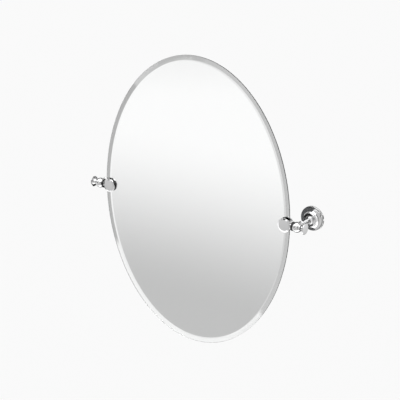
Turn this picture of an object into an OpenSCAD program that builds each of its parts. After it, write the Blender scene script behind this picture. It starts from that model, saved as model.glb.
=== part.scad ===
// Oval bevelled wall mirror that tilts between two turned, chromed wall posts.
// Millimetres. The wall is the plane Y = 0 and the mirror hangs on its -Y side.
// X runs along the pivot axis and Z is up. The origin lies on the wall, midway
// between the two posts, at the height of the pivot axis.

/* [Mirror glass] */
// Width of the oval glass
glass_w = 495; // [400:1:600]
// Height of the oval glass
glass_h = 673; // [500:1:800]
// Thickness of the glass
glass_t = 4.8; // [4:0.1:6]
// Width of the polished bevel, square to the edge
bevel_w = 11.5; // [6:0.5:14]
// How far the bevel drops between the front face and the edge
bevel_drop = 2.3; // [1:0.1:3]
// Seamed chamfer on the back edge
seam = 0.4; // [0.2:0.1:0.8]
// Thickness of the silver with its paint and safety film
backing_t = 0.3; // [0.2:0.1:0.6]
// Bare margin between the backing and the glass edge
backing_margin = 1.5; // [1:0.1:4]

/* [Placing] */
// Distance of the pivot axis from the wall
pivot_out = 68; // [60:1:110]
// Distance from the glass edge in to the centre of a clip
clip_inset = 10.4; // [9:0.1:12]
// Distance along the pivot axis from a clip to its post
post_gap = 29; // [28:0.5:40]

/* [Clips] */
// Diameter of a clip
clip_d = 31.4; // [30:0.2:40]
// Diameter of the flat front face inside its chamfer
clip_face_d = 24.4; // [18:0.2:27]
// Depth of the front chamfer
clip_chamfer = 1.8; // [0.5:0.1:3]
// Chamfer round the back of a clip
clip_back_chamfer = 1; // [0.5:0.1:2]
// Thickness of the cheek in front of the glass
front_cheek = 4.5; // [4:0.1:6]
// Thickness of the cheek behind the glass
rear_cheek = 4.4; // [4:0.1:7]
// Diameter of the boss that takes the pivot stud
boss_d = 14.4; // [11:0.2:16]
// Diameter of the rubber pads
pad_d = 26; // [20:0.5:28]
// Thickness of the front pad
front_pad_t = 0.5; // [0.3:0.1:1]
// Thickness of the rear pad
rear_pad_t = 1.5; // [1:0.1:2.5]
// Thickness of the steel pressure plate
plate_t = 1.5; // [1:0.1:2.5]
// Diameter of the two clamp screws of a clip
clamp_d = 4; // [3:0.5:5]
// Distance between the clamp screws
clamp_spread = 12; // [10:0.5:16]
// How far the clamp screws stay below the back of a clip
clamp_sink = 0.4; // [0.2:0.1:1]

/* [Pivot] */
// Diameter of the pivot stud
stud_d = 6; // [5:0.5:7]
// Chamfer on both ends of the stud
stud_chamfer = 0.5; // [0.3:0.1:1]
// Distance that the stud stays back from the slot of the clip
stud_inset = 0.8; // [0.4:0.1:1.5]
// Outside diameter of the flanged nylon bushes
bush_d = 8.4; // [8.2:0.1:9.4]
// Length of a bush inside the hub
bush_len = 7; // [4:0.5:9]
// Diameter of the outer bush's flange
bush_flange_d = 13; // [11:0.5:14]
// Thickness of the outer bush's flange
bush_flange_t = 0.9; // [0.6:0.1:1.5]
// Diameter of the inner bush's flange, the dark ring between clip and hub
friction_d = 20; // [15:0.5:22]
// Thickness of the inner bush's flange
friction_t = 1.6; // [1:0.1:1.8]
// Material thickness of the coned spring washer
spring_t = 0.5; // [0.3:0.1:0.6]
// Height of the coned spring washer
spring_h = 0.8; // [0.7:0.1:1.2]
// Outside diameter of the coned spring washer
spring_d = 12; // [10:0.5:13]

/* [Knobs] */
// Diameter of a tension knob across its flat face
knob_d = 24.5; // [20:0.5:32]
// Diameter of the knob's neck
knob_neck_d = 11; // [10:0.5:14]
// Length of a knob from its neck to its flat face
knob_len = 8.7; // [8:0.1:16]
// Thickness of the knob's rim
knob_rim = 2; // [1:0.1:2.5]
// Width of the step between the knob's flare and its rim
knob_step = 0.5; // [0.3:0.1:1]
// Length of the plain neck before the flare starts
knob_land = 1; // [0.5:0.1:2]
// Depth of the knob's bore for the stud
knob_bore = 5.6; // [4:0.1:6.5]

/* [Posts] */
// Diameter of the ball hub at the front of a post
ball_d = 22.8; // [20:0.2:28]
// Diameter of the barrel that crosses the ball
barrel_d = 15.2; // [14.4:0.2:17]
// Length of the barrel along the pivot axis
barrel_len = 19.6; // [18:0.2:21]
// Diameter of the slim neck behind the ball
neck_d = 11.4; // [10:0.2:14]
// Diameter of the collar bead
collar_d = 16.4; // [13:0.2:22]
// Thickness of the collar bead
collar_t = 4.6; // [3:0.2:6]
// Distance of the collar behind the pivot axis
collar_back = 19; // [17:0.5:24]
// Diameter of the shaft at its waist
shaft_d = 10.6; // [10:0.2:14]
// Diameter of the shaft where it spreads into its foot
shaft_foot_d = 12.4; // [11:0.2:15]
// Diameter of the foot that stands on the rosette
foot_d = 19.4; // [16:0.2:22]
// Height of the spread between shaft and foot
foot_flare = 9; // [6:0.5:14]
// Height and depth of the step round the foot
foot_lip = 0.8; // [0.4:0.1:1.2]
// Length of the round shoulder in front of and behind the collar
collar_ease = 1; // [0.5:0.1:1.5]

/* [Rosettes] */
// Diameter of a rosette against the wall
rosette_d = 55.2; // [50:0.2:80]
// Height of the rosette's rim
rim_h = 4; // [3.8:0.1:6]
// Height of the rosette where the post stands
rosette_h = 15.5; // [13:0.5:20]
// Diameter of the ring bead round the foot
ring_d = 32; // [28:0.2:40]
// Height of the ring bead
ring_t = 3; // [2:0.1:4]
// Depth of the hollows above and below the ring bead
ring_dish = 1.4; // [0.5:0.1:2]
// Rounding of the rim's front corner
rim_round = 1; // [0.5:0.1:1.5]
// Thickness of the rosette's floor under the post
floor_t = 3.5; // [2.5:0.1:5]
// Diameter of the well behind that floor
well_d = 23; // [18:0.5:24]

/* [Wall fixings] */
// Diameter of the hidden wall plate
wall_plate_d = 38; // [36:0.5:40]
// Thickness of the wall plate
wall_plate_t = 3.6; // [3.4:0.1:3.9]
// Distance between the two screw holes of a plate
hole_spread = 26; // [24:0.5:28]
// Diameter of the screw holes
hole_d = 4.4; // [3.5:0.1:5]
// Depth of their countersinks
sink_depth = 2; // [1:0.1:2.5]
// Depth of the groove round the wall plate for the lock screw's point
groove = 0.9; // [0.5:0.1:1.2]
// Diameter of the grub screw that locks the rosette
lock_d = 3; // [2.5:0.1:3.2]
// How far the lock screw reaches into the groove
lock_reach = 0.5; // [0.2:0.1:0.6]
// How far the lock screw stays below the rosette's rim
lock_sink = 0.6; // [0.3:0.1:1.5]
// Diameter of the screw that holds the post
post_screw_d = 6; // [5:0.5:6]
// Length of that screw inside the post
post_screw_grip = 12; // [8:0.5:14]
// Diameter of its round head
post_head_d = 10.4; // [9:0.2:12]
// Thickness of its head
post_head_t = 4; // [3:0.2:5]
// Width of the hexagonal key in its head
post_key_d = 5.4; // [4:0.2:6]
// Depth of that key
post_key_depth = 2.4; // [1.5:0.1:3]
// Outside diameter of the washer under its head
post_washer_d = 12; // [10:0.5:14]
// Thickness of that washer
post_washer_t = 1.2; // [0.8:0.1:1.6]

/* [Fits] */
// Radial clearance where the stud turns
running_gap = 0.05; // [0.03:0.01:0.09]
// Radial clearance of threads and pressed bushes
thread_gap = 0.02; // [0.01:0.01:0.04]
// End play between parts that turn on each other
end_play = 0.1; // [0.05:0.01:0.15]
// Clearance between the glass edge and the end of a clip's slot
edge_gap = 0.5; // [0.3:0.1:1]
// Gap between the pressure plate and the cheek behind it
plate_gap = 0.3; // [0.1:0.1:0.5]
// Distance from a pad to the bevel or to the backing's edge
pad_margin = 0.5; // [0.3:0.1:1]
// Radial clearance of washers and rosettes round their screws
hole_gap = 0.2; // [0.1:0.05:0.4]
// Gap between the stud's end and the end of the knob's bore
stud_tip_gap = 0.4; // [0.2:0.1:0.8]
// Depth that a screw hole runs past the end of its screw
drill_past = 1; // [0.5:0.1:2]
// Radial clearance of the rosette over the wall plate
plate_fit = 0.4; // [0.2:0.1:0.6]

/* [Hidden] */
$fn = 96;
left = -1;
right = 1;
oval_points = 180;
arc_steps = 10;
over = 1; // how far a cut runs past the face it opens

// Distances from the pivot axis towards the room, along -Y
glass_front = glass_t / 2;
glass_back = -glass_t / 2;
slot_front = glass_front + front_pad_t;
backing_back = glass_back - backing_t;
rear_pad_back = backing_back - rear_pad_t;
plate_back = rear_pad_back - plate_t;
slot_back = plate_back - plate_gap;
clip_front = slot_front + front_cheek;
clip_back = slot_back - rear_cheek;

// Stations along the pivot axis, for the right-hand side
glass_edge = glass_w / 2;
clip_x = glass_edge - clip_inset;
slot_end_x = glass_edge + edge_gap;
rear_reach = glass_edge - backing_margin - pad_margin;
hub_x = clip_x + post_gap;
barrel_in_x = hub_x - barrel_len / 2;
barrel_out_x = hub_x + barrel_len / 2;
boss_end_x = barrel_in_x - friction_t - end_play;
spring_x = barrel_out_x + bush_flange_t + end_play;
knob_x = spring_x + spring_h + end_play;
stud_in_x = slot_end_x + stud_inset;
stud_out_x = knob_x + knob_bore - stud_tip_gap;

// Heights above the wall
ring_low = rosette_h - ring_t;
foot_step = rosette_h + 2 * foot_lip;
well_top = rosette_h - floor_t;
head_top = well_top - post_washer_t;
head_low = head_top - post_head_t;
post_screw_tip = rosette_h + post_screw_grip;
collar_mid = pivot_out - collar_back;
collar_low = collar_mid - collar_t / 2;
collar_high = collar_mid + collar_t / 2;
ball_low = pivot_out - sqrt(pow(ball_d, 2) - pow(neck_d, 2)) / 2;
cavity_h = wall_plate_t + plate_fit;
lock_h = cavity_h / 2;

// ---- Helpers ----

// Draws the right-hand piece, or its mirror image on the left
module on_side(side) {
    if (side < 0) mirror([1, 0, 0]) children();
    else children();
}

// Turns a profile of [radius, height above the wall] about the post's axis
module turned_post(profile) {
    translate([hub_x, 0, 0]) rotate([90, 0, 0]) rotate_extrude() polygon(joined(profile));
}

// Turns a profile of [radius, X station] about the pivot axis
module turned_pivot(profile) {
    translate([0, -pivot_out, 0]) rotate([0, 90, 0]) rotate_extrude() polygon(joined(profile));
}

// Turns a profile of [radius, distance towards the room] about a clip's axis
module turned_clip(profile) {
    translate([clip_x, -pivot_out, 0]) rotate([90, 0, 0]) rotate_extrude() polygon(joined(profile));
}

// Quarter of an ellipse from a to b, square to the axis at a and along it at b
function cove(a, b) = [
    for (i = [0:arc_steps]) let (t = 90 * i / arc_steps)
        [a[0] + (b[0] - a[0]) * sin(t), a[1] + (b[1] - a[1]) * (1 - cos(t))]
];

// Quarter of an ellipse from a to b, along the axis at a and square to it at b
function bead(a, b) = [
    for (i = [0:arc_steps]) let (t = 90 * i / arc_steps)
        [a[0] + (b[0] - a[0]) * (1 - cos(t)), a[1] + (b[1] - a[1]) * sin(t)]
];

// The same points the other way round
function reversed(points) = [for (i = [len(points) - 1:-1:0]) points[i]];

// The points without those that repeat the one before
function joined(points) = [
    for (i = [0:len(points) - 1])
        if (i == 0 || norm(points[i] - points[i - 1]) > 0.001) points[i]
];

// The oval of the glass, drawn in by d, at height z
function oval(d, z) = [
    for (i = [0:oval_points - 1])
        let (
            t = 360 * i / oval_points,
            a = glass_w / 2,
            b = glass_h / 2,
            n = sqrt(pow(b * cos(t), 2) + pow(a * sin(t), 2))
        )
        [(a - d * b / n) * cos(t), (b - d * a / n) * sin(t), z]
];

// Closed solid through a stack of equal rings, the lowest first
module lofted(rings) {
    n = len(rings[0]);
    top = len(rings) - 1;
    polyhedron(
        points = [for (ring = rings) each ring],
        faces = concat(
            [[for (i = [0:n - 1]) i]],
            [[for (i = [0:n - 1]) top * n + n - 1 - i]],
            [
                for (k = [0:top - 1]) for (i = [0:n - 1])
                    [k * n + i, (k + 1) * n + i, (k + 1) * n + (i + 1) % n, k * n + (i + 1) % n]
            ]
        )
    );
}

// Stands a drawing in the plane of the glass, its Z towards the room
module in_glass_plane() {
    translate([0, -pivot_out, 0]) rotate([90, 0, 0]) children();
}

// ---- Mirror ----

module mirror_glass() {
    color("lightsteelblue") in_glass_plane() lofted([
        oval(seam, glass_back),
        oval(0, glass_back + seam),
        oval(0, glass_front - bevel_drop),
        oval(bevel_w, glass_front)
    ]);
}

module silvered_backing() {
    color("dimgray") in_glass_plane() lofted([
        oval(backing_margin, backing_back),
        oval(backing_margin, glass_back)
    ]);
}

// ---- Clips ----

module clip() {
    r = clip_d / 2;
    color("silver") difference() {
        union() {
            turned_clip([
                [0, clip_back],
                [r - clip_back_chamfer, clip_back],
                [r, clip_back + clip_back_chamfer],
                [r, clip_front - clip_chamfer],
                [clip_face_d / 2, clip_front],
                [0, clip_front]
            ]);
            turned_pivot([
                [0, slot_end_x],
                [boss_d / 2, slot_end_x],
                [boss_d / 2, boss_end_x],
                [0, boss_end_x]
            ]);
        }
        clip_slot();
        turned_pivot([
            [0, slot_end_x - over],
            [stud_d / 2 + thread_gap, slot_end_x - over],
            [stud_d / 2 + thread_gap, boss_end_x + over],
            [0, boss_end_x + over]
        ]);
        clamp_places() translate([0, 0, over]) rotate([180, 0, 0])
            cylinder(d = clamp_d + 2 * thread_gap, h = rear_cheek + 2 * over);
    }
}

// The slot that the edge of the glass slides into
module clip_slot() {
    in_glass_plane() translate([clip_x - clip_d, -clip_d, slot_back])
        cube([slot_end_x - clip_x + clip_d, 2 * clip_d, slot_front - slot_back]);
}

// The two places of the clamp screws, on the slot's rear wall
module clamp_places() {
    in_glass_plane() for (z = [-clamp_spread / 2, clamp_spread / 2])
        translate([clip_x, z, slot_back]) children();
}

// A flat layer in the slot, from z = low to z = high, as far as x = reach
module slot_layer(low, high, reach) {
    in_glass_plane() intersection() {
        translate([clip_x, 0, low]) cylinder(d = pad_d, h = high - low);
        translate([clip_x - clip_d, -clip_d, low - over])
            cube([reach - clip_x + clip_d, 2 * clip_d, high - low + 2 * over]);
    }
}

module front_pad() {
    color("dimgray") slot_layer(glass_front, slot_front, glass_edge - bevel_w - pad_margin);
}

module rear_pad() {
    color("dimgray") slot_layer(rear_pad_back, backing_back, rear_reach);
}

module pressure_plate() {
    color("gray") slot_layer(plate_back, rear_pad_back, rear_reach);
}

module clamp_screws() {
    color("gray") clamp_places() translate([0, 0, plate_gap]) rotate([180, 0, 0]) difference() {
        cylinder(d = clamp_d, h = plate_gap + rear_cheek - clamp_sink);
        translate([0, 0, plate_gap + rear_cheek - clamp_sink]) hex_key(clamp_d / 2);
    }
}

// Key of a grub screw, cut as deep as it is wide below the plane of the origin
module hex_key(d) {
    translate([0, 0, -d]) cylinder(d = d, h = d + over, $fn = 6);
}

// ---- Pivot ----

module pivot_stud() {
    r = stud_d / 2;
    c = stud_chamfer;
    color("gray") turned_pivot([
        [0, stud_in_x],
        [r - c, stud_in_x],
        [r, stud_in_x + c],
        [r, stud_out_x - c],
        [r - c, stud_out_x],
        [0, stud_out_x]
    ]);
}

// Flanged bush: dir is 1 when its body runs outwards from the face at x
module bush(x, dir, flange_d, flange_t) {
    bore = stud_d / 2 + running_gap;
    color("dimgray") turned_pivot([
        [bore, x - dir * flange_t],
        [flange_d / 2, x - dir * flange_t],
        [flange_d / 2, x],
        [bush_d / 2, x],
        [bush_d / 2, x + dir * bush_len],
        [bore, x + dir * bush_len]
    ]);
}

module inner_bush() {
    bush(barrel_in_x, 1, friction_d, friction_t);
}

module outer_bush() {
    bush(barrel_out_x, -1, bush_flange_d, bush_flange_t);
}

module spring_washer() {
    inside = stud_d / 2 + hole_gap;
    outside = spring_d / 2;
    rise = spring_h - spring_t;
    color("gray") turned_pivot([
        [outside, spring_x],
        [outside, spring_x + spring_t],
        [inside, spring_x + rise + spring_t],
        [inside, spring_x + rise]
    ]);
}

module knob() {
    neck = knob_neck_d / 2;
    rim = knob_d / 2;
    face_x = knob_x + knob_len;
    flare_x = face_x - knob_rim;
    bore = stud_d / 2 + running_gap;
    color("silver") turned_pivot(concat(
        [[bore, knob_x], [neck, knob_x]],
        reversed(cove([rim - knob_step, flare_x], [neck, knob_x + knob_land])),
        bead([rim, flare_x + knob_step], [rim - knob_step, face_x]),
        [[0, face_x], [0, knob_x + knob_bore], [bore, knob_x + knob_bore]]
    ));
}

// ---- Posts ----

module post() {
    neck = neck_d / 2;
    collar = collar_d / 2;
    waist = shaft_d / 2;
    spread = shaft_foot_d / 2;
    foot = foot_d / 2;
    color("silver") difference() {
        union() {
            turned_post(concat(
                [[0, rosette_h], [foot, rosette_h]],
                bead([foot, rosette_h + foot_lip], [foot - foot_lip, foot_step]),
                cove([foot - foot_lip, foot_step], [spread, foot_step + foot_flare]),
                cove([waist, collar_low - collar_ease], [collar, collar_mid]),
                bead([collar, collar_mid], [neck, collar_high]),
                [[neck, ball_low + over], [0, ball_low + over]]
            ));
            hub();
        }
        turned_pivot([
            [0, barrel_in_x - over],
            [bush_d / 2 + thread_gap, barrel_in_x - over],
            [bush_d / 2 + thread_gap, barrel_out_x + over],
            [0, barrel_out_x + over]
        ]);
        turned_post([
            [0, rosette_h - over],
            [post_screw_d / 2 + thread_gap, rosette_h - over],
            [post_screw_d / 2 + thread_gap, post_screw_tip + drill_past],
            [0, post_screw_tip + drill_past + post_screw_d / 2]
        ]);
    }
}

// Ball faced off at both ends, with the barrel for the bushes through it
module hub() {
    translate([hub_x, -pivot_out, 0]) rotate([0, 90, 0]) rotate_extrude()
        translate([0, -barrel_len / 2]) {
            square([barrel_d / 2, barrel_len]);
            intersection() {
                translate([0, barrel_len / 2]) circle(d = ball_d);
                square([ball_d / 2, barrel_len]);
            }
        }
}

// ---- Rosettes and wall fixings ----

module rosette() {
    rim = rosette_d / 2;
    ring = ring_d / 2;
    hole = post_screw_d / 2 + hole_gap;
    ring_wide = ring_low + 0.4 * ring_t;
    color("silver") difference() {
        turned_post(concat(
            [[hole, 0], [rim, 0]],
            bead([rim, rim_h - rim_round], [rim - rim_round, rim_h]),
            cove([rim - rim_round, rim_h], [ring - ring_dish, ring_low]),
            cove([ring - ring_dish, ring_low], [ring, ring_wide]),
            bead([ring, ring_wide], [ring - ring_dish, rosette_h]),
            [[hole, rosette_h]]
        ));
        turned_post([
            [0, -over],
            [wall_plate_d / 2 + plate_fit, -over],
            [wall_plate_d / 2 + plate_fit, cavity_h],
            [0, cavity_h]
        ]);
        turned_post([
            [0, -over],
            [well_d / 2, -over],
            [well_d / 2, well_top],
            [0, well_top]
        ]);
        lock_place() cylinder(d = lock_d + 2 * thread_gap, h = rosette_d);
    }
}

// Underside of the rosette, where the lock screw goes in, its Z pointing down
module lock_place() {
    translate([hub_x, -lock_h, 0]) rotate([180, 0, 0]) children();
}

module lock_screw() {
    r = lock_d / 2;
    point = wall_plate_d / 2 - lock_reach;
    end = rosette_d / 2 - lock_sink;
    color("gray") lock_place() difference() {
        rotate_extrude() polygon([
            [0, point],
            [r, point + r],
            [r, end],
            [0, end]
        ]);
        translate([0, 0, end]) hex_key(r);
    }
}

module post_washer() {
    color("gray") turned_post([
        [post_screw_d / 2 + hole_gap, head_top],
        [post_washer_d / 2, head_top],
        [post_washer_d / 2, well_top],
        [post_screw_d / 2 + hole_gap, well_top]
    ]);
}

module post_screw() {
    r = post_screw_d / 2;
    head = post_head_d / 2;
    c = 0.5; // chamfer of the head and of the screw's end
    color("gray") difference() {
        turned_post([
            [0, head_low],
            [head - c, head_low],
            [head, head_low + c],
            [head, head_top],
            [r, head_top],
            [r, post_screw_tip - c],
            [r - c, post_screw_tip],
            [0, post_screw_tip]
        ]);
        translate([hub_x, over - head_low, 0]) rotate([90, 0, 0])
            cylinder(d = post_key_d, h = post_key_depth + over, $fn = 6);
    }
}

module wall_plate() {
    r = wall_plate_d / 2;
    color("lightgray") difference() {
        turned_post([
            [0, 0],
            [r, 0],
            [r, lock_h - groove],
            [r - groove, lock_h],
            [r, lock_h + groove],
            [r, wall_plate_t],
            [0, wall_plate_t]
        ]);
        for (z = [-hole_spread / 2, hole_spread / 2]) translate([hub_x, 0, z]) rotate([90, 0, 0]) {
            translate([0, 0, -over]) cylinder(d = hole_d, h = wall_plate_t + 2 * over);
            translate([0, 0, wall_plate_t - sink_depth])
                cylinder(d1 = hole_d, d2 = hole_d + 2 * (sink_depth + over), h = sink_depth + over);
        }
    }
}

// ---- Assembly ----

mirror_glass();
silvered_backing();
on_side(left) clip();  // left_clip
on_side(right) clip();  // right_clip
on_side(left) front_pad();  // left_front_pad
on_side(right) front_pad();  // right_front_pad
on_side(left) rear_pad();  // left_rear_pad
on_side(right) rear_pad();  // right_rear_pad
on_side(left) pressure_plate();  // left_pressure_plate
on_side(right) pressure_plate();  // right_pressure_plate
on_side(left) clamp_screws();  // left_clamp_screws
on_side(right) clamp_screws();  // right_clamp_screws
on_side(left) pivot_stud();  // left_pivot_stud
on_side(right) pivot_stud();  // right_pivot_stud
on_side(left) spring_washer();  // left_spring_washer
on_side(right) spring_washer();  // right_spring_washer
on_side(left) knob();  // left_knob
on_side(right) knob();  // right_knob
on_side(left) inner_bush();  // left_inner_bush
on_side(right) inner_bush();  // right_inner_bush
on_side(left) outer_bush();  // left_outer_bush
on_side(right) outer_bush();  // right_outer_bush
on_side(left) post();  // left_post
on_side(right) post();  // right_post
on_side(left) post_screw();  // left_post_screw
on_side(right) post_screw();  // right_post_screw
on_side(left) post_washer();  // left_post_washer
on_side(right) post_washer();  // right_post_washer
on_side(left) rosette();  // left_rosette
on_side(right) rosette();  // right_rosette
on_side(left) lock_screw();  // left_lock_screw
on_side(right) lock_screw();  // right_lock_screw
on_side(left) wall_plate();  // left_wall_plate
on_side(right) wall_plate();  // right_wall_plate
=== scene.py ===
# %% [markdown]
# # An oval pivot mirror, finished in glass, silver and chrome
# The real object is a frameless oval wall mirror. Two slotted chrome clips grip its
# edge, and it tilts between two turned wall posts. The solids of every part already
# exist, at their real size, as a fixed frame. This file gives the parts that show a
# smooth surface and a finish. It starts by loading the frame, and then works in
# metres, with the wall at Y = 0, X along the pivot axis and Z up.

# %% Load the frame
import math

import bpy
from mathutils import Matrix, Vector


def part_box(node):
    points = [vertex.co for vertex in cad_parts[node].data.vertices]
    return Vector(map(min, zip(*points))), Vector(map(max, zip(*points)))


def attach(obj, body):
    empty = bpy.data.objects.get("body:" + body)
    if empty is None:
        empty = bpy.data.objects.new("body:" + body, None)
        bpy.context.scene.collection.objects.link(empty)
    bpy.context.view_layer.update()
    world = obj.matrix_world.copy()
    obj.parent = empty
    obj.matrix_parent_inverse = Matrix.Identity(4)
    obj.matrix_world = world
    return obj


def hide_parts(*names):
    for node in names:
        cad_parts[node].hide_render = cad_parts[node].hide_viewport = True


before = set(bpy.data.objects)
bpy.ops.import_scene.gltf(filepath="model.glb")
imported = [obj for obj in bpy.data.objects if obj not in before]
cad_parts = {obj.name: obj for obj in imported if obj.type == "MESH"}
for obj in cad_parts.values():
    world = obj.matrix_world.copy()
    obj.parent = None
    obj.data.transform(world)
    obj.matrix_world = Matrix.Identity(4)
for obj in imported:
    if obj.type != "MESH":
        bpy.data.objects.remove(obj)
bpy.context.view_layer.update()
MM = 0.001

# %% [markdown]
# ## Helpers for work at the bench
# A new primitive is selected all over, and so is all that was loaded. An operator acts
# on everything selected, so each step starts by selecting one object and no more.
# These helpers hold the few moves that every piece needs. The first three pick a
# piece, open it in edit mode, and close it with all its faces turned outwards.


# %% Select, open and close a piece
def select_only(*pieces):
    """Selects these objects and makes the first one active."""
    bpy.ops.object.select_all(action="DESELECT")
    for piece in pieces:
        piece.select_set(True)
    bpy.context.view_layer.objects.active = pieces[0]


def edit(piece, action="DESELECT"):
    """Opens a piece in edit mode, with nothing in it selected, or all of it."""
    select_only(piece)
    bpy.ops.object.mode_set(mode="EDIT")
    bpy.ops.mesh.select_all(action=action)


def close_outwards():
    """Turns every face outwards and leaves edit mode."""
    bpy.ops.mesh.select_all(action="SELECT")
    bpy.ops.mesh.normals_make_consistent(inside=False)
    bpy.ops.object.mode_set(mode="OBJECT")


# %% [markdown]
# The other moves finish a piece. A modifier is used up at once, so that the mesh itself
# has the shape. A place or a turn also goes into the mesh, which leaves the object
# unturned at the origin. Smooth shading keeps a crease at each real edge. A left-hand
# piece is a mirrored copy of the right-hand one, and mirroring turns a mesh inside out,
# so its faces are turned outwards again.

# %% Modify, place, smooth and mirror a piece
CREASE = 20  # degrees; an edge that turns more than this stays an edge
AREA_WEIGHT = 100  # percent; how far large faces decide the shading of small ones


def use_modifier(piece, kind, **settings):
    """Adds a modifier, sets it and applies it at once."""
    select_only(piece)
    bpy.ops.object.modifier_add(type=kind)
    modifier = piece.modifiers[-1]
    for name, value in settings.items():
        setattr(modifier, name, value)
    bpy.ops.object.modifier_apply(modifier=modifier.name)


def place(piece, location=(0, 0, 0), rotation=(0, 0, 0)):
    """Turns and moves a piece, and keeps the result in its mesh."""
    select_only(piece)
    piece.rotation_euler = rotation
    piece.location = location
    bpy.ops.object.transform_apply(location=True, rotation=True, scale=True)


def smooth(piece):
    """Shades a piece smooth, with a crease at each real edge."""
    select_only(piece)
    bpy.ops.object.shade_smooth_by_angle(angle=math.radians(CREASE))
    use_modifier(piece, "WEIGHTED_NORMAL", weight=AREA_WEIGHT, keep_sharp=True)


def mirrored(piece, name):
    """Copies a right-hand piece, with its own mesh, to the left-hand side."""
    select_only(piece)
    bpy.ops.object.duplicate(linked=False)
    copy = bpy.context.object
    copy.name = name
    copy.scale = (-1, 1, 1)
    bpy.ops.object.transform_apply(location=False, rotation=False, scale=True)
    edit(copy)
    close_outwards()
    bpy.ops.mesh.customdata_custom_splitnormals_clear()
    smooth(copy)
    return copy


# %% [markdown]
# ## Reading sizes off the frame
# A real maker measures the part on the bench before making its neighbour. Here the
# boxes of the solids are measured, so that a new piece always fits the frame. Only
# what a box can't show, such as the width of a chamfer, is a named size of its own.

# %% Places and sizes taken from the frame
glass_low, glass_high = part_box("mirror_glass")
_, backing_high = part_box("silvered_backing")
clip_low, clip_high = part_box("right_clip")
knob_low, knob_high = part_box("right_knob")
_, post_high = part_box("right_post")
rosette_low, rosette_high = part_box("right_rosette")
pad_low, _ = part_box("right_front_pad")
_, plate_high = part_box("right_pressure_plate")

pivot_y = (knob_low.y + knob_high.y) / 2
clip_r = clip_high.z
clip_x = clip_low.x + clip_r
hub_x = (rosette_low.x + rosette_high.x) / 2
ball_r = post_high.z
print(f"pivot {-pivot_y / MM:.1f} mm from the wall, clips at {clip_x / MM:.1f} mm,",
      f"posts at {hub_x / MM:.1f} mm")

# %% [markdown]
# ## The bevelled glass
# The glass is one oval plate. Its front edge is ground to a bevel of constant width,
# which is what catches the light. Scaling a smaller oval would make the bevel wider
# at the ends than at the sides, so the front face is inset instead: an inset keeps
# the same distance from the edge all round. The edge at the back has a narrow seam,
# made in the same way.

# %% Glass sizes
OVAL_POINTS = 360
BEVEL_W = 11.5 * MM
BEVEL_DROP = 2.3 * MM
SEAM = 0.4 * MM
GLASS_CREASE = 8  # degrees; the flat bevel meets the flat front at about 11


# %% Oval sheet helper
def oval_sheet(name, y):
    """A filled oval of the glass's size, facing the room, in the plane at y."""
    bpy.ops.mesh.primitive_circle_add(
        vertices=OVAL_POINTS, radius=1, fill_type="NGON")
    sheet = bpy.context.object
    sheet.name = name
    sheet.scale = (glass_high.x, glass_high.z, 1)
    bpy.ops.object.transform_apply(scale=True)
    place(sheet, location=(0, y, 0), rotation=(math.radians(90), 0, 0))
    return sheet


# %% Glass
def make_glass():
    """The plate rises from its back, and both its edges are cut back by an inset."""
    seam_y = glass_high.y - SEAM
    glass = oval_sheet("glass", seam_y)
    edit(glass, "SELECT")
    rise = glass_low.y + BEVEL_DROP - seam_y
    bpy.ops.mesh.extrude_region_move(TRANSFORM_OT_translate={"value": (0, rise, 0)})
    bpy.ops.mesh.inset(thickness=BEVEL_W, use_even_offset=True)
    bpy.ops.transform.translate(value=(0, -BEVEL_DROP, 0))
    bpy.ops.mesh.select_all(action="DESELECT")
    bpy.ops.object.mode_set(mode="OBJECT")
    back = max(glass.data.polygons, key=lambda face: (face.center.y, face.area))
    back.select = True
    bpy.ops.object.mode_set(mode="EDIT")
    bpy.ops.mesh.inset(thickness=SEAM, use_even_offset=True)
    bpy.ops.transform.translate(value=(0, SEAM, 0))
    close_outwards()
    select_only(glass)
    bpy.ops.object.shade_smooth_by_angle(angle=math.radians(GLASS_CREASE))
    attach(glass, "mirror")
    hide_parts("mirror_glass")
    return glass


glass = make_glass()
print(f"glass {len(glass.data.polygons)} faces,",
      f"{(glass_high.y - glass_low.y) / MM:.1f} mm thick")

# %% [markdown]
# ## The silver
# A mirror's silver is a film on the back of the glass, covered by grey paint and a
# safety film. Light crosses the glass, turns round at the silver and crosses the glass
# again. To get that, the film is a thin plate whose front lies a hair inside the glass,
# so that no air gap shows. One plate has two finishes: silver towards the room and
# paint on the rest.

# %% Silver
BOND = 0.05 * MM
BACKING_MARGIN = glass_high.x - backing_high.x


def make_silver():
    """The inner part of an oval sheet, given the backing's thickness."""
    front = glass_high.y - BOND
    film = oval_sheet("silver_film", front)
    edit(film, "SELECT")
    bpy.ops.mesh.inset(thickness=BACKING_MARGIN, use_even_offset=True)
    bpy.ops.mesh.select_all(action="INVERT")
    bpy.ops.mesh.delete(type="FACE")
    bpy.ops.mesh.select_all(action="SELECT")
    depth = backing_high.y - front
    bpy.ops.mesh.extrude_region_move(TRANSFORM_OT_translate={"value": (0, depth, 0)})
    close_outwards()
    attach(film, "mirror")
    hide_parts("silvered_backing")
    return film


silver = make_silver()
print(f"silver {BACKING_MARGIN / MM:.1f} mm inside the edge of the glass")

# %% [markdown]
# ## Turning on a lathe
# The posts, rosettes, knobs and clips are turned parts. A turned part is fully told by
# its half outline, so each is made the way a lathe makes it: a point is extruded along
# the half outline, and the outline is spun once round. Quarter curves make the coves
# and beads.

# %% Quarter curves
CURVE_STEPS = 12
QUARTER = [math.pi / 2 * i / CURVE_STEPS for i in range(CURVE_STEPS + 1)]


def cove(a, b):
    """Quarter of an ellipse from a to b, square to the axis at a, along it at b."""
    return [
        (a[0] + (b[0] - a[0]) * math.sin(t), a[1] + (b[1] - a[1]) * (1 - math.cos(t)))
        for t in QUARTER
    ]


def bead(a, b):
    """Quarter of an ellipse from a to b, along the axis at a, square to it at b."""
    return [
        (a[0] + (b[0] - a[0]) * (1 - math.cos(t)), a[1] + (b[1] - a[1]) * math.sin(t))
        for t in QUARTER
    ]


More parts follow.
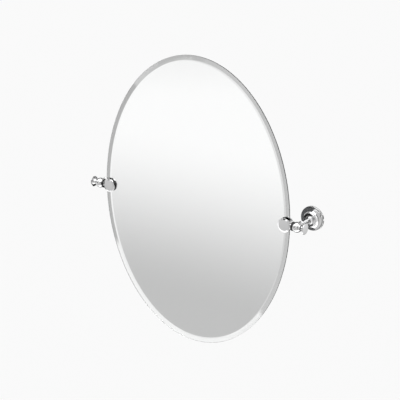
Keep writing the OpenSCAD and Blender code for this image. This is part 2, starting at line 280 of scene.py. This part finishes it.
def closed(outline):
    """A half outline that goes back to its first point, for a piece with a bore."""
    return [*outline, outline[0]]


# %% [markdown]
# The last step of the spin lies on its first, and the points on the axis lie on each
# other, so both are merged before the faces are turned outwards. Then a small bevel on
# each sharp edge gives the thin bright lines that polished metal has there. Where two
# such bevels meet, points are left almost on top of each other, and these are merged
# too, because a sliver between them would catch the light by itself.

# %% Lathe
TURN_STEPS = 128
SAME_POINT = 0.001 * MM
SPIN_WELD = 0.0005 * MM
EASE = 0.2 * MM
EASE_STEPS = 3
EASE_WELD = 0.003 * MM
ALONG_Y = (math.radians(90), 0, 0)
ALONG_X = (0, math.radians(90), 0)


def turned(name, outline):
    """Spins a half outline of (radius, height) about Z and eases its sharp edges."""
    bpy.ops.mesh.primitive_plane_add(size=MM)
    piece = bpy.context.object
    piece.name = name
    edit(piece, "SELECT")
    bpy.ops.mesh.merge(type="CENTER")
    here, *others = [Vector((radius, 0, height)) for radius, height in outline]
    bpy.ops.transform.translate(value=here)
    for there in others:
        if (there - here).length > SAME_POINT:
            bpy.ops.mesh.extrude_vertices_move(
                TRANSFORM_OT_translate={"value": there - here})
        here = there
    bpy.ops.mesh.select_all(action="SELECT")
    bpy.ops.mesh.spin(
        steps=TURN_STEPS, angle=2 * math.pi, center=(0, 0, 0), axis=(0, 0, 1))
    bpy.ops.mesh.select_all(action="SELECT")
    bpy.ops.mesh.remove_doubles(threshold=SPIN_WELD)
    close_outwards()
    use_modifier(piece, "BEVEL", width=EASE, segments=EASE_STEPS, limit_method="ANGLE",
                 angle_limit=math.radians(CREASE), use_clamp_overlap=True)
    edit(piece, "SELECT")
    bpy.ops.mesh.remove_doubles(threshold=EASE_WELD)
    bpy.ops.object.mode_set(mode="OBJECT")
    return piece


# %% [markdown]
# ## The clips
# A clip is a thick round disc with a slot for the glass, a wide chamfer round its front
# and a boss that holds the pivot stud. The disc is turned first. Then a block the width
# of the slot is cut out of it, as a milling cutter would do, and the boss is joined on.

# %% Clips
CLIP_FACE_R = 12.2 * MM
CLIP_CHAMFER = 1.8 * MM
CLIP_BACK_CHAMFER = 1.0 * MM
BOSS_R = 7.2 * MM
BOSS_ROOT = 1.0 * MM
STUD_R = 3.0 * MM
EDGE_GAP = 0.5 * MM
PLATE_GAP = 0.3 * MM


def make_clip():
    """A turned disc, slotted for the glass, with the boss along the pivot axis."""
    front = pivot_y - clip_low.y
    back = pivot_y - clip_high.y
    clip = turned("right_clip_turned", [
        (0, back),
        (clip_r - CLIP_BACK_CHAMFER, back),
        (clip_r, back + CLIP_BACK_CHAMFER),
        (clip_r, front - CLIP_CHAMFER),
        (CLIP_FACE_R, front),
        (0, front),
    ])
    place(clip, location=(clip_x, pivot_y, 0), rotation=ALONG_Y)
    slot_end = glass_high.x + EDGE_GAP
    slot_front = pad_low.y
    slot_back = plate_high.y + PLATE_GAP
    bpy.ops.mesh.primitive_cube_add(size=1)
    cutter = bpy.context.object
    reach = 2 * clip_r
    cutter.scale = (reach, slot_back - slot_front, 2 * reach)
    cutter.location = (slot_end - reach / 2, (slot_front + slot_back) / 2, 0)
    bpy.ops.object.transform_apply(location=True, scale=True)
    use_modifier(clip, "BOOLEAN", object=cutter, operation="DIFFERENCE", solver="EXACT")
    bpy.data.objects.remove(cutter)
    boss = turned("boss", closed([
        (STUD_R, slot_end + BOSS_ROOT),
        (BOSS_R, slot_end + BOSS_ROOT),
        (BOSS_R, clip_high.x),
        (STUD_R, clip_high.x),
    ]))
    place(boss, location=(0, pivot_y, 0), rotation=ALONG_X)
    select_only(clip, boss)
    bpy.ops.object.join()
    smooth(clip)
    return clip


right_clip = make_clip()
left_clip = mirrored(right_clip, "left_clip_turned")
print(f"clips {2 * clip_r / MM:.1f} mm across, {len(right_clip.data.polygons)} faces")

# %% [markdown]
# ## The tension knobs
# Each knob is a small trumpet: a neck, a hollow flare and a flat face with a rounded
# rim. The flare is one quarter curve, run backwards from the rim to the neck.

# %% Knobs
KNOB_NECK_R = 5.5 * MM
KNOB_RIM = 2.0 * MM
KNOB_STEP = 0.5 * MM
KNOB_LAND = 1.0 * MM
KNOB_BORE = 5.6 * MM


def make_knob():
    """A turned trumpet on the pivot axis, with a blind bore for the stud."""
    rim = knob_high.z
    inner, face = knob_low.x, knob_high.x
    flare = cove((rim - KNOB_STEP, face - KNOB_RIM), (KNOB_NECK_R, inner + KNOB_LAND))
    knob = turned("right_knob_turned", closed(
        [(STUD_R, inner), (KNOB_NECK_R, inner)]
        + flare[::-1]
        + bead((rim, face - KNOB_RIM + KNOB_STEP), (rim - KNOB_STEP, face))
        + [(0, face), (0, inner + KNOB_BORE), (STUD_R, inner + KNOB_BORE)]
    ))
    place(knob, location=(0, pivot_y, 0), rotation=ALONG_X)
    smooth(knob)
    return knob


right_knob = make_knob()
left_knob = mirrored(right_knob, "left_knob_turned")
print(f"knobs {2 * knob_high.z / MM:.1f} mm across,",
      f"{(knob_high.x - knob_low.x) / MM:.1f} mm long")

# %% [markdown]
# ## The posts
# A post is turned along the line from the wall to the pivot: a foot with a small step,
# a hollow spread, a straight shaft, a collar bead and a slim neck that ends inside the
# ball. The ball at its front is turned about the pivot axis instead, with a barrel
# through it for the bushes. The two turned shapes are closed shells that run into each
# other, and they are joined as one piece.

# %% Stem of a post
NECK_R = 5.7 * MM
NECK_ROOT = 1.0 * MM
COLLAR_R = 8.2 * MM
COLLAR_HALF = 2.3 * MM
COLLAR_BACK = 19.0 * MM
COLLAR_EASE = 1.0 * MM
SHAFT_R = 5.3 * MM
SHAFT_FOOT_R = 6.2 * MM
FOOT_R = 9.7 * MM
FOOT_LIP = 0.8 * MM
FOOT_FLARE = 9.0 * MM


def make_stem():
    """All of a post behind its ball, from the foot to the neck."""
    base = -post_high.y
    pivot = -pivot_y
    step = base + 2 * FOOT_LIP
    collar = pivot - COLLAR_BACK
    ball_low = pivot - math.sqrt(ball_r ** 2 - NECK_R ** 2)
    stem = turned("right_post_turned", (
        [(0, base), (FOOT_R, base)]
        + bead((FOOT_R, base + FOOT_LIP), (FOOT_R - FOOT_LIP, step))
        + cove((FOOT_R - FOOT_LIP, step), (SHAFT_FOOT_R, step + FOOT_FLARE))
        + cove((SHAFT_R, collar - COLLAR_HALF - COLLAR_EASE), (COLLAR_R, collar))
        + bead((COLLAR_R, collar), (NECK_R, collar + COLLAR_HALF))
        + [(NECK_R, ball_low + NECK_ROOT), (0, ball_low + NECK_ROOT)]
    ))
    place(stem, location=(hub_x, 0, 0), rotation=ALONG_Y)
    return stem


# %% Hub of a post, and the whole posts
BARREL_R = 7.6 * MM
BARREL_HALF = 9.8 * MM
BUSH_R = 4.2 * MM
BALL_STEPS = 24


def make_hub():
    """The ball on the pivot axis, between the two ends of its barrel."""
    start = math.asin(BARREL_R / ball_r)
    end = math.pi - start
    barrel_cut = min(BARREL_HALF, ball_r * math.cos(start))
    ball = [
        (ball_r * math.sin(a), -ball_r * math.cos(a))
        for a in (start + (end - start) * i / BALL_STEPS for i in range(BALL_STEPS + 1))
    ]
    hub = turned("hub", closed(
        [(BUSH_R, -BARREL_HALF), (BARREL_R, -BARREL_HALF), (BARREL_R, -barrel_cut)]
        + ball
        + [(BARREL_R, barrel_cut), (BARREL_R, BARREL_HALF), (BUSH_R, BARREL_HALF)]
    ))
    place(hub, location=(hub_x, pivot_y, 0), rotation=ALONG_X)
    return hub


right_post = make_stem()
select_only(right_post, make_hub())
bpy.ops.object.join()
smooth(right_post)
left_post = mirrored(right_post, "left_post_turned")
print(f"posts with a ball of {2 * ball_r / MM:.1f} mm,",
      f"{len(right_post.data.polygons)} faces")

# %% [markdown]
# ## The rosettes
# A rosette is a thin turned cover: a rounded rim, a long hollow sweep and a ring bead
# on which the post stands. It is open at the back, where the wall plate sits.

# %% Rosettes
RIM_H = 4.0 * MM
RIM_ROUND = 1.0 * MM
RING_R = 16.0 * MM
RING_T = 3.0 * MM
RING_DISH = 1.4 * MM
RING_WIDE = 0.4  # the ring is widest at this share of its thickness
CAVITY_R = 19.4 * MM
CAVITY_H = 4.0 * MM
WELL_R = 11.5 * MM
FLOOR_T = 3.5 * MM
SCREW_R = 3.2 * MM


def make_rosette():
    """A turned cover, with a cavity for the wall plate and a well for the screw."""
    rim = rosette_high.z
    top = -rosette_low.y
    low = top - RING_T
    wide = low + RING_WIDE * RING_T
    rosette = turned("right_rosette_turned", closed(
        [(CAVITY_R, 0), (rim, 0)]
        + bead((rim, RIM_H - RIM_ROUND), (rim - RIM_ROUND, RIM_H))
        + cove((rim - RIM_ROUND, RIM_H), (RING_R - RING_DISH, low))
        + cove((RING_R - RING_DISH, low), (RING_R, wide))
        + bead((RING_R, wide), (RING_R - RING_DISH, top))
        + [
            (SCREW_R, top),
            (SCREW_R, top - FLOOR_T),
            (WELL_R, top - FLOOR_T),
            (WELL_R, CAVITY_H),
            (CAVITY_R, CAVITY_H),
        ]
    ))
    place(rosette, location=(hub_x, 0, 0), rotation=ALONG_Y)
    smooth(rosette)
    return rosette


right_rosette = make_rosette()
left_rosette = mirrored(right_rosette, "left_rosette_turned")
print(f"rosettes {2 * rosette_high.z / MM:.1f} mm across")

# %% [markdown]
# ## Which piece moves with what
# Each new piece rides on the body that its solid belongs to, and the solid it stands
# for is hidden. The posts and rosettes stay on the wall, the clips tilt with the
# glass, and each knob turns by itself.

# %% Ride and replace
TURNED = {
    "left_clip": (left_clip, "mirror"),
    "left_knob": (left_knob, "left_knob"),
    "left_post": (left_post, "brackets"),
    "left_rosette": (left_rosette, "brackets"),
    "right_clip": (right_clip, "mirror"),
    "right_knob": (right_knob, "right_knob"),
    "right_post": (right_post, "brackets"),
    "right_rosette": (right_rosette, "brackets"),
}
for node_name, (piece, body) in TURNED.items():
    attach(piece, body)
    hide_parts(node_name)
print(f"{len(TURNED)} turned pieces stand for their solids")

# %% [markdown]
# ## Helpers for finishes
# A finish is a tree of nodes, and most of a tree is links. An input takes either a link
# from another node or a constant, so one helper feeds it whichever it is given. The
# others add the nodes that are wanted again and again: a sum, a mix of two values or
# colours, and a gentle step from one value to another.

# %% Node helpers
MIX_SOCKETS = {"FLOAT": (0, 2, 3, 0), "RGBA": (0, 6, 7, 2)}  # three inputs, an output


def add_sockets(group, in_out, kind, *names):
    """Gives a node group these sockets of one kind."""
    for name in names:
        group.interface.new_socket(name, in_out=in_out, socket_type=kind)


def feed(tree, socket, value):
    """Links a value from another node to a socket, or sets a constant there."""
    if isinstance(value, bpy.types.NodeSocket):
        tree.links.new(value, socket)
    else:
        socket.default_value = value


def math_node(tree, operation, *values):
    """Adds one sum and gives its result."""
    node = tree.nodes.new("ShaderNodeMath")
    node.operation = operation
    for socket, value in zip(node.inputs, values):
        feed(tree, socket, value)
    return node.outputs[0]


def mixed(tree, kind, mask, under, over):
    """Lays one value or colour over another, as far as the mask lets it show."""
    node = tree.nodes.new("ShaderNodeMix")
    node.data_type = kind
    *inputs, output = MIX_SOCKETS[kind]
    for index, value in zip(inputs, (mask, under, over)):
        feed(tree, node.inputs[index], value)
    return node.outputs[output]


def gentle_step(tree, value, low, high, start=0.0, end=1.0):
    """Goes smoothly from start to end while a value goes from low to high."""
    node = tree.nodes.new("ShaderNodeMapRange")
    node.interpolation_type = "SMOOTHSTEP"
    feed(tree, node.inputs["Value"], value)
    feed(tree, node.inputs["From Min"], low)
    feed(tree, node.inputs["From Max"], high)
    feed(tree, node.inputs["To Min"], start)
    feed(tree, node.inputs["To Max"], end)
    return node.outputs["Result"]


# %% [markdown]
# ## Finishes
# All the finishes share one effect: a surface is never quite even. A node group called
# polish_marks makes it once. It lays two noises over each other, one broad and one
# fine, and gives a roughness, a height and a mask of soft patches. Each finish places
# the group with its own values, and the patches may take a second colour. The shader
# stays in the material.

# %% The shared surface effect
BROAD_DETAIL = 3
FINE_DETAIL = 5
FINE_SCALE = 9  # how many times finer the second noise is
PATCH_EDGE = (0.38, 0.62)  # the broad noise's range over which a patch fades in


def build_polish_marks():
    """The uneven surface of every finish, as a roughness, a height and a mask."""
    group = bpy.data.node_groups.new("polish_marks", "ShaderNodeTree")
    add_sockets(group, "INPUT", "NodeSocketFloat", "Base", "Spread", "Scale")
    add_sockets(group, "OUTPUT", "NodeSocketFloat", "Roughness", "Height", "Patches")
    inside = group.nodes.new("NodeGroupInput")
    outside = group.nodes.new("NodeGroupOutput")
    where = group.nodes.new("ShaderNodeTexCoord")

    def noise(scale, detail):
        node = group.nodes.new("ShaderNodeTexNoise")
        group.links.new(where.outputs["Object"], node.inputs["Vector"])
        group.links.new(scale, node.inputs["Scale"])
        node.inputs["Detail"].default_value = detail
        return node.outputs["Fac"]

    scale, base = inside.outputs["Scale"], inside.outputs["Base"]
    broad = noise(scale, BROAD_DETAIL)
    fine = noise(math_node(group, "MULTIPLY", scale, FINE_SCALE), FINE_DETAIL)
    both = math_node(group, "MULTIPLY", broad, fine)
    roughness = math_node(group, "MULTIPLY_ADD", both, inside.outputs["Spread"], base)
    group.links.new(roughness, outside.inputs["Roughness"])
    group.links.new(fine, outside.inputs["Height"])
    group.links.new(gentle_step(group, broad, *PATCH_EDGE), outside.inputs["Patches"])
    return group


polish_marks = build_polish_marks()
print("shared effect:", polish_marks.name)

# %% [markdown]
# One function makes every finish. It sets the plain values straight on the shader, and
# takes from the group only what the finish needs: always the roughness, and for some
# the patches or the height as a faint relief.

# %% One finish
RELIEF = 0.1 * MM


def finish(name, color, metallic, base, spread, scale, bump=0.0, patch_color=None):
    """A finish with the shared surface effect, and soft patches of a second colour."""
    material = bpy.data.materials.new(name)
    material.use_nodes = True
    tree = material.node_tree
    shader = tree.nodes["Principled BSDF"]
    shader.inputs["Base Color"].default_value = (*color, 1)
    shader.inputs["Metallic"].default_value = metallic
    marks = tree.nodes.new("ShaderNodeGroup")
    marks.node_tree = polish_marks
    marks.inputs["Base"].default_value = base
    marks.inputs["Spread"].default_value = spread
    marks.inputs["Scale"].default_value = scale
    tree.links.new(marks.outputs["Roughness"], shader.inputs["Roughness"])
    if patch_color:
        patches = marks.outputs["Patches"]
        blend = mixed(tree, "RGBA", patches, (*color, 1), (*patch_color, 1))
        tree.links.new(blend, shader.inputs["Base Color"])
    if bump:
        relief = tree.nodes.new("ShaderNodeBump")
        relief.inputs["Strength"].default_value = bump
        relief.inputs["Distance"].default_value = RELIEF
        tree.links.new(marks.outputs["Height"], relief.inputs["Height"])
        tree.links.new(relief.outputs["Normal"], shader.inputs["Normal"])
    return material


# %% [markdown]
# Chrome is a metal that sends back a little under two thirds of the light, almost
# without colour. Its roughness is very low, with a faint haze that varies over the
# surface. The hidden fixings are zinc plated, and the mirror's back is sprayed with
# grey paint, which is never quite even. The bushes are nylon, coloured near black.
# That colour is partly their own and partly painted shade, which stands in for the
# shade in the narrow gap between each clip and its ball.

# %% Metals, nylon with painted gap shade, rubber and paint
chrome = finish(
    "chrome_plate", (0.62, 0.62, 0.62), metallic=1.0,
    base=0.015, spread=0.06, scale=60, patch_color=(0.60, 0.60, 0.605))
zinc = finish(
    "zinc_plate", (0.55, 0.55, 0.56), metallic=1.0,
    base=0.22, spread=0.3, scale=90, bump=0.3, patch_color=(0.47, 0.48, 0.50))
# near-black bushes: partly their own colour, partly painted shade for the gap between
# clip and ball
nylon = finish(
    "nylon", (0.022, 0.022, 0.023), metallic=0.0,
    base=0.34, spread=0.25, scale=120, bump=0.2, patch_color=(0.03, 0.03, 0.03))
rubber = finish(
    "pad_rubber", (0.02, 0.02, 0.02), metallic=0.0,
    base=0.65, spread=0.4, scale=200, bump=0.6, patch_color=(0.028, 0.028, 0.028))
backing_paint = finish(
    "backing_paint", (0.136, 0.139, 0.143), metallic=0.0,
    base=0.42, spread=0.3, scale=22, bump=0.4, patch_color=(0.146, 0.149, 0.153))
film_silver = finish(
    "film_silver", (0.93, 0.93, 0.93), metallic=1.0,
    base=0.0, spread=0.004, scale=20)
print("finishes:", chrome.name, zinc.name, nylon.name, rubber.name,
      backing_paint.name, film_silver.name)

# %% [markdown]
# Clear glass bends the light and reflects a little of it at both faces. Its whole look
# comes from the index of refraction, so its shader needs no more than that, with full
# transmission and a trace of unevenness. The bevel is polished too, but the narrow wall
# round the plate is only ground. Ground glass is the same glass with a rough face, so
# light that reaches it is scattered instead of being thrown back inside.

# %% Clear and ground glass
GLASS_IOR = 1.52

clear_glass = finish(
    "clear_glass", (0.985, 0.99, 0.988), metallic=0.0,
    base=0.0, spread=0.004, scale=12)
ground_glass = finish(
    "ground_glass", (0.93, 0.97, 0.95), metallic=0.0,
    base=0.30, spread=0.30, scale=160, bump=0.3)
for material in (clear_glass, ground_glass):
    shader = material.node_tree.nodes["Principled BSDF"]
    shader.inputs["Transmission Weight"].default_value = 1.0
    shader.inputs["IOR"].default_value = GLASS_IOR
print(f"glass with an index of refraction of {GLASS_IOR}")

# %% [markdown]
# Two pieces have two finishes each. The wall round the glass and its seam look
# sideways, which their normals tell, and they are ground. On the film, the faces that
# look at the room take the silver, and all others take the grey paint of the back.

# %% Give every piece its finish
WALL_NORMAL = 0.8  # a face of the wall looks less than this towards front or back
ROOM_NORMAL = -0.5  # a face that looks at the room has its normal's Y below this
NODE_FINISHES = {
    "front_pad": rubber,
    "rear_pad": rubber,
    # the bushes take the near-black finish, which also paints the shade in the gap
    # beside them
    "inner_bush": nylon,
    "outer_bush": nylon,
}


def dress(piece, *finishes):
    """Gives a piece its finishes, in place of those it had."""
    piece.data.materials.clear()
    for material in finishes:
        piece.data.materials.append(material)


dress(glass, clear_glass, ground_glass)
for face in glass.data.polygons:
    face.material_index = 1 if abs(face.normal.y) < WALL_NORMAL else 0
dress(silver, film_silver, backing_paint)
for face in silver.data.polygons:
    face.material_index = 0 if face.normal.y < ROOM_NORMAL else 1
for piece, _ in TURNED.values():
    dress(piece, chrome)
for name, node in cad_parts.items():
    dress(node, NODE_FINISHES.get(name.split("_", 1)[1], zinc))
print(f"{len(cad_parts)} solids and {len(TURNED) + 2} new pieces have a finish")

# %% [markdown]
# ## Studio
# Chrome and silver show nothing but their surroundings, so the studio is half of their
# look. The floor is plain and pale. Polished metal in an all-white room looks like
# chalk, so a photographer stands it in a white tent and adds light, grey and black
# cards, which draw its edges. Each card is a rectangle seen in one direction. The
# mirror looks down at a pale sweep that darkens towards the object, and the chrome also
# sees the cards beside and behind it. A direction is told by two angles, and a card
# and the camera both need the three axes that go with it.

# %% Directions
NEAR_ZERO = 0.001  # keeps a division from meeting zero


def axes_at(azimuth, elevation):
    """The axis from the mirror out to a direction, and those to its right and up."""
    a, e = math.radians(azimuth), math.radians(elevation)
    out = Vector((math.sin(a) * math.cos(e), -math.cos(a) * math.cos(e), math.sin(e)))
    right = Vector((math.cos(a), math.sin(a), 0))
    return out, right, out.cross(right)


# %% [markdown]
# A card is a node group that gives a mask. The line of sight is measured along the
# card's own axes and divided by how far it goes ahead, which is its place on the card.
# The distance from that place to each side then fades the card in by a gentle step.

# %% Light card group
def build_light_card():
    """A soft rectangle of light in one direction, as a mask between 0 and 1."""
    group = bpy.data.node_groups.new("light_card", "ShaderNodeTree")
    add_sockets(
        group, "INPUT", "NodeSocketVector", "Direction", "Centre", "Right", "Up")
    add_sockets(
        group, "INPUT", "NodeSocketFloat", "Half Width", "Half Height", "Softness")
    add_sockets(group, "OUTPUT", "NodeSocketFloat", "Mask")
    inside = group.nodes.new("NodeGroupInput")
    outside = group.nodes.new("NodeGroupOutput")

    def along(axis):
        """How far the direction goes along one axis of the card."""
        dot = group.nodes.new("ShaderNodeVectorMath")
        dot.operation = "DOT_PRODUCT"
        group.links.new(inside.outputs["Direction"], dot.inputs[0])
        group.links.new(inside.outputs[axis], dot.inputs[1])
        return dot.outputs["Value"]

    ahead = along("Centre")
    distance = math_node(group, "MAXIMUM", ahead, NEAR_ZERO)
    mask = math_node(group, "GREATER_THAN", ahead, NEAR_ZERO)
    outer = inside.outputs["Softness"]
    inner = math_node(group, "MULTIPLY", outer, -1)
    for axis, half in (("Right", "Half Width"), ("Up", "Half Height")):
        slope = math_node(group, "DIVIDE", along(axis), distance)
        offset = math_node(group, "ABSOLUTE", slope)
        inset = math_node(group, "SUBTRACT", inside.outputs[half], offset)
        side = gentle_step(group, inset, inner, outer)
        mask = math_node(group, "MULTIPLY", mask, side)
    group.links.new(mask, outside.inputs["Mask"])
    return group


# %% [markdown]
# A card is told by the azimuth and elevation of its centre, as seen from the object.
# Azimuth 0 looks from the wall straight into the room, and positive azimuths lie to
# the right. Half its width and height are given in degrees, and its softness is how
# far its edge fades to each side, as a share of its distance. The cards are laid over
# each other in this order: first CARDS, then the sweep, and then the fades. The fades
# are pale and soft, and they hide the hard edges of the sweep and of its two ends,
# which would otherwise draw lines in the mirror when it is seen from other sides.

# %% Cards: azimuth, elevation, half width, half height, softness, brightness
ROOM = 0.82
CARDS = [
    (-167, -11, 69, 66, 0.25, 0.05),    # the unlit side, behind the mirror
    (-26, 67, 41, 39, 0.15, 2.77),      # soft light overhead
    (10, -77, 64, 18, 0.15, 2.65),      # white table below
    (82, 14, 19, 34, 0.15, 1.65),       # white card on the right
    (100, -5, 14, 14, 0.10, 1.27),      # less bright card at its far side
    (-50, -14, 38, 43, 0.15, 2.04),     # wide white card on the left
    (45, 6, 6, 34, 0.06, 0.00),         # black strip on the right
    (-41, 4, 20, 18, 0.20, 0.12),       # soft dark card on the left
    (-6, 34, 35, 5, 0.03, 0.00),        # black strip high in front
    (148, -17, 5, 4, 0.06, 1.74),       # white card behind, low
    (172, 26, 30, 15, 0.06, 1.83),      # white card behind, high
    (176, 23, 27, 12, 0.06, 0.53),      # grey card that covers its middle
    (0, -7, 12, 8, 0.10, 0.60),         # grey card in front
    (60, -14, 16, 12, 0.25, 0.72),      # soft grey card to the right
    (-60, -14, 16, 12, 0.25, 0.72),     # soft grey card to the left
    (-5, -40, 16, 12, 0.25, 0.82),      # soft grey card low in front
    (72, 2, 12, 12, 0.20, 0.85),        # soft grey card far right
    (-74, 4, 12, 12, 0.20, 0.85),       # soft grey card far left
    (-33, -13, 19, 8, 0.08, 0.99),      # white card above the sweep
    (-16.5, -26.3, 12.5, 9.8, 0.004, 0.46),  # right end of the sweep
    (-47, -26, 19, 10, 0.004, 0.65),    # left end of the sweep
]
FADES = [
    (-34, -45, 26, 14, 0.08, 0.90),     # pale card that fades the sweep below
    (0, -27, 9, 14, 0.12, 0.95),        # pale card past its right end
    (-70, -26, 10, 14, 0.12, 1.00),     # pale card past its left end
]
print(f"{len(CARDS)} cards and {len(FADES)} fades")

# %% [markdown]
# The sweep is a card too, but its brightness changes with the slope of the line of
# sight: grey where the line runs steeply down, and white where it is shallower.

# %% Sweep
SWEEP = (-34.4, -24.5, 6.3, 11.2, 0.02)  # as a card, without its brightness
SWEEP_STEEP = -0.545
SWEEP_SHALLOW = -0.35
SWEEP_GREY = 0.58
SWEEP_WHITE = 1.06


def add_sweep(tree, direction):
    """The sweep's brightness in each direction."""
    split = tree.nodes.new("ShaderNodeSeparateXYZ")
    tree.links.new(direction, split.inputs[0])
    into_room = math_node(tree, "MULTIPLY", split.outputs["Y"], -1)
    distance = math_node(tree, "MAXIMUM", into_room, NEAR_ZERO)
    slope = math_node(tree, "DIVIDE", split.outputs["Z"], distance)
    return gentle_step(
        tree, slope, SWEEP_STEEP, SWEEP_SHALLOW, SWEEP_GREY, SWEEP_WHITE)


# %% [markdown]
# The world starts as the plain light of the room, and each card is laid over what was
# there before. At the end, matt surfaces and the camera get an even white of their own,
# so no card shows in the background. As matt surfaces see even light, the world needn't
# be sampled as a lamp is.

# %% World
EVEN_LIGHT = 1.06  # what matt surfaces see
BACKGROUND = 0.956  # what the camera sees


def add_card(tree, card_group, direction, azimuth, elevation, width, height, softness):
    """One card's mask in the world."""
    out, right, up = axes_at(azimuth, elevation)
    card = tree.nodes.new("ShaderNodeGroup")
    card.node_tree = card_group
    tree.links.new(direction, card.inputs["Direction"])
    card.inputs["Centre"].default_value = out
    card.inputs["Right"].default_value = right
    card.inputs["Up"].default_value = up
    card.inputs["Half Width"].default_value = math.tan(math.radians(width))
    card.inputs["Half Height"].default_value = math.tan(math.radians(height))
    card.inputs["Softness"].default_value = softness
    return card.outputs["Mask"]


def build_world():
    """Lays the cards over the light of the room, one after the other."""
    world = bpy.data.worlds.new("studio")
    bpy.context.scene.world = world
    world.use_nodes = True
    world.cycles.sampling_method = "NONE"
    tree = world.node_tree
    card_group = build_light_card()
    direction = tree.nodes.new("ShaderNodeTexCoord").outputs["Generated"]
    sweep = (*SWEEP, add_sweep(tree, direction))
    light = ROOM
    for *card, brightness in [*CARDS, sweep, *FADES]:
        mask = add_card(tree, card_group, direction, *card)
        light = mixed(tree, "FLOAT", mask, light, brightness)
    path = tree.nodes.new("ShaderNodeLightPath")
    light = mixed(tree, "FLOAT", path.outputs["Is Diffuse Ray"], light, EVEN_LIGHT)
    light = mixed(tree, "FLOAT", path.outputs["Is Camera Ray"], light, BACKGROUND)
    tree.links.new(light, tree.nodes["Background"].inputs["Color"])


build_world()
print(f"{len(CARDS) + 1 + len(FADES)} cards laid over a room of brightness {ROOM}")

# %% [markdown]
# The floor lies so far below the mirror that no shadow reaches the view, and that the
# mirror can also be looked at from below. It is hidden from reflections, because the
# surroundings already hold the pale sweep that the mirror sees.

# %% Floor
FLOOR_Z = -3.0
FLOOR_SIZE = 60
bpy.ops.mesh.primitive_plane_add(size=FLOOR_SIZE, location=(0, 0, FLOOR_Z))
floor = bpy.context.object
floor.name = "floor"
pale_floor = finish(
    "pale_floor", (0.9, 0.9, 0.9), metallic=0.0, base=0.8, spread=0.2, scale=2)
shader = pale_floor.node_tree.nodes["Principled BSDF"]
shader.inputs["Specular IOR Level"].default_value = 0.0
dress(floor, pale_floor)
floor.visible_glossy = False
floor.visible_transmission = False
print(f"floor {-FLOOR_Z:.0f} m below the pivot axis")

# %% [markdown]
# ## Camera
# The camera stands to the right of the mirror and above it. It looks straight back
# along that direction, at a point a little to the right of the middle of the glass and
# above it. A fit of the oval, the bevel and the brackets gave its place and its lens.

# %% Camera
CAMERA_AZIMUTH = 34.35
CAMERA_ELEVATION = 19.20
CAMERA_DISTANCE = 2.6566
CAMERA_SIDESTEP = 0.0155
CAMERA_RISE = 0.0089
LENS_MM = 106.99
SENSOR_MM = 36

back, right, up = axes_at(CAMERA_AZIMUTH, CAMERA_ELEVATION)
aim = Vector((0, glass_low.y, 0))
bpy.ops.object.camera_add(
    location=aim + CAMERA_DISTANCE * back + CAMERA_SIDESTEP * right + CAMERA_RISE * up,
)
camera = bpy.context.object
camera.rotation_euler = Matrix((right, up, back)).transposed().to_euler()
camera.data.lens = LENS_MM
camera.data.sensor_width = SENSOR_MM
bpy.context.scene.camera = camera
bpy.context.scene.view_settings.view_transform = "Standard"
print(f"camera {camera.location.length:.2f} m from the wall's middle")
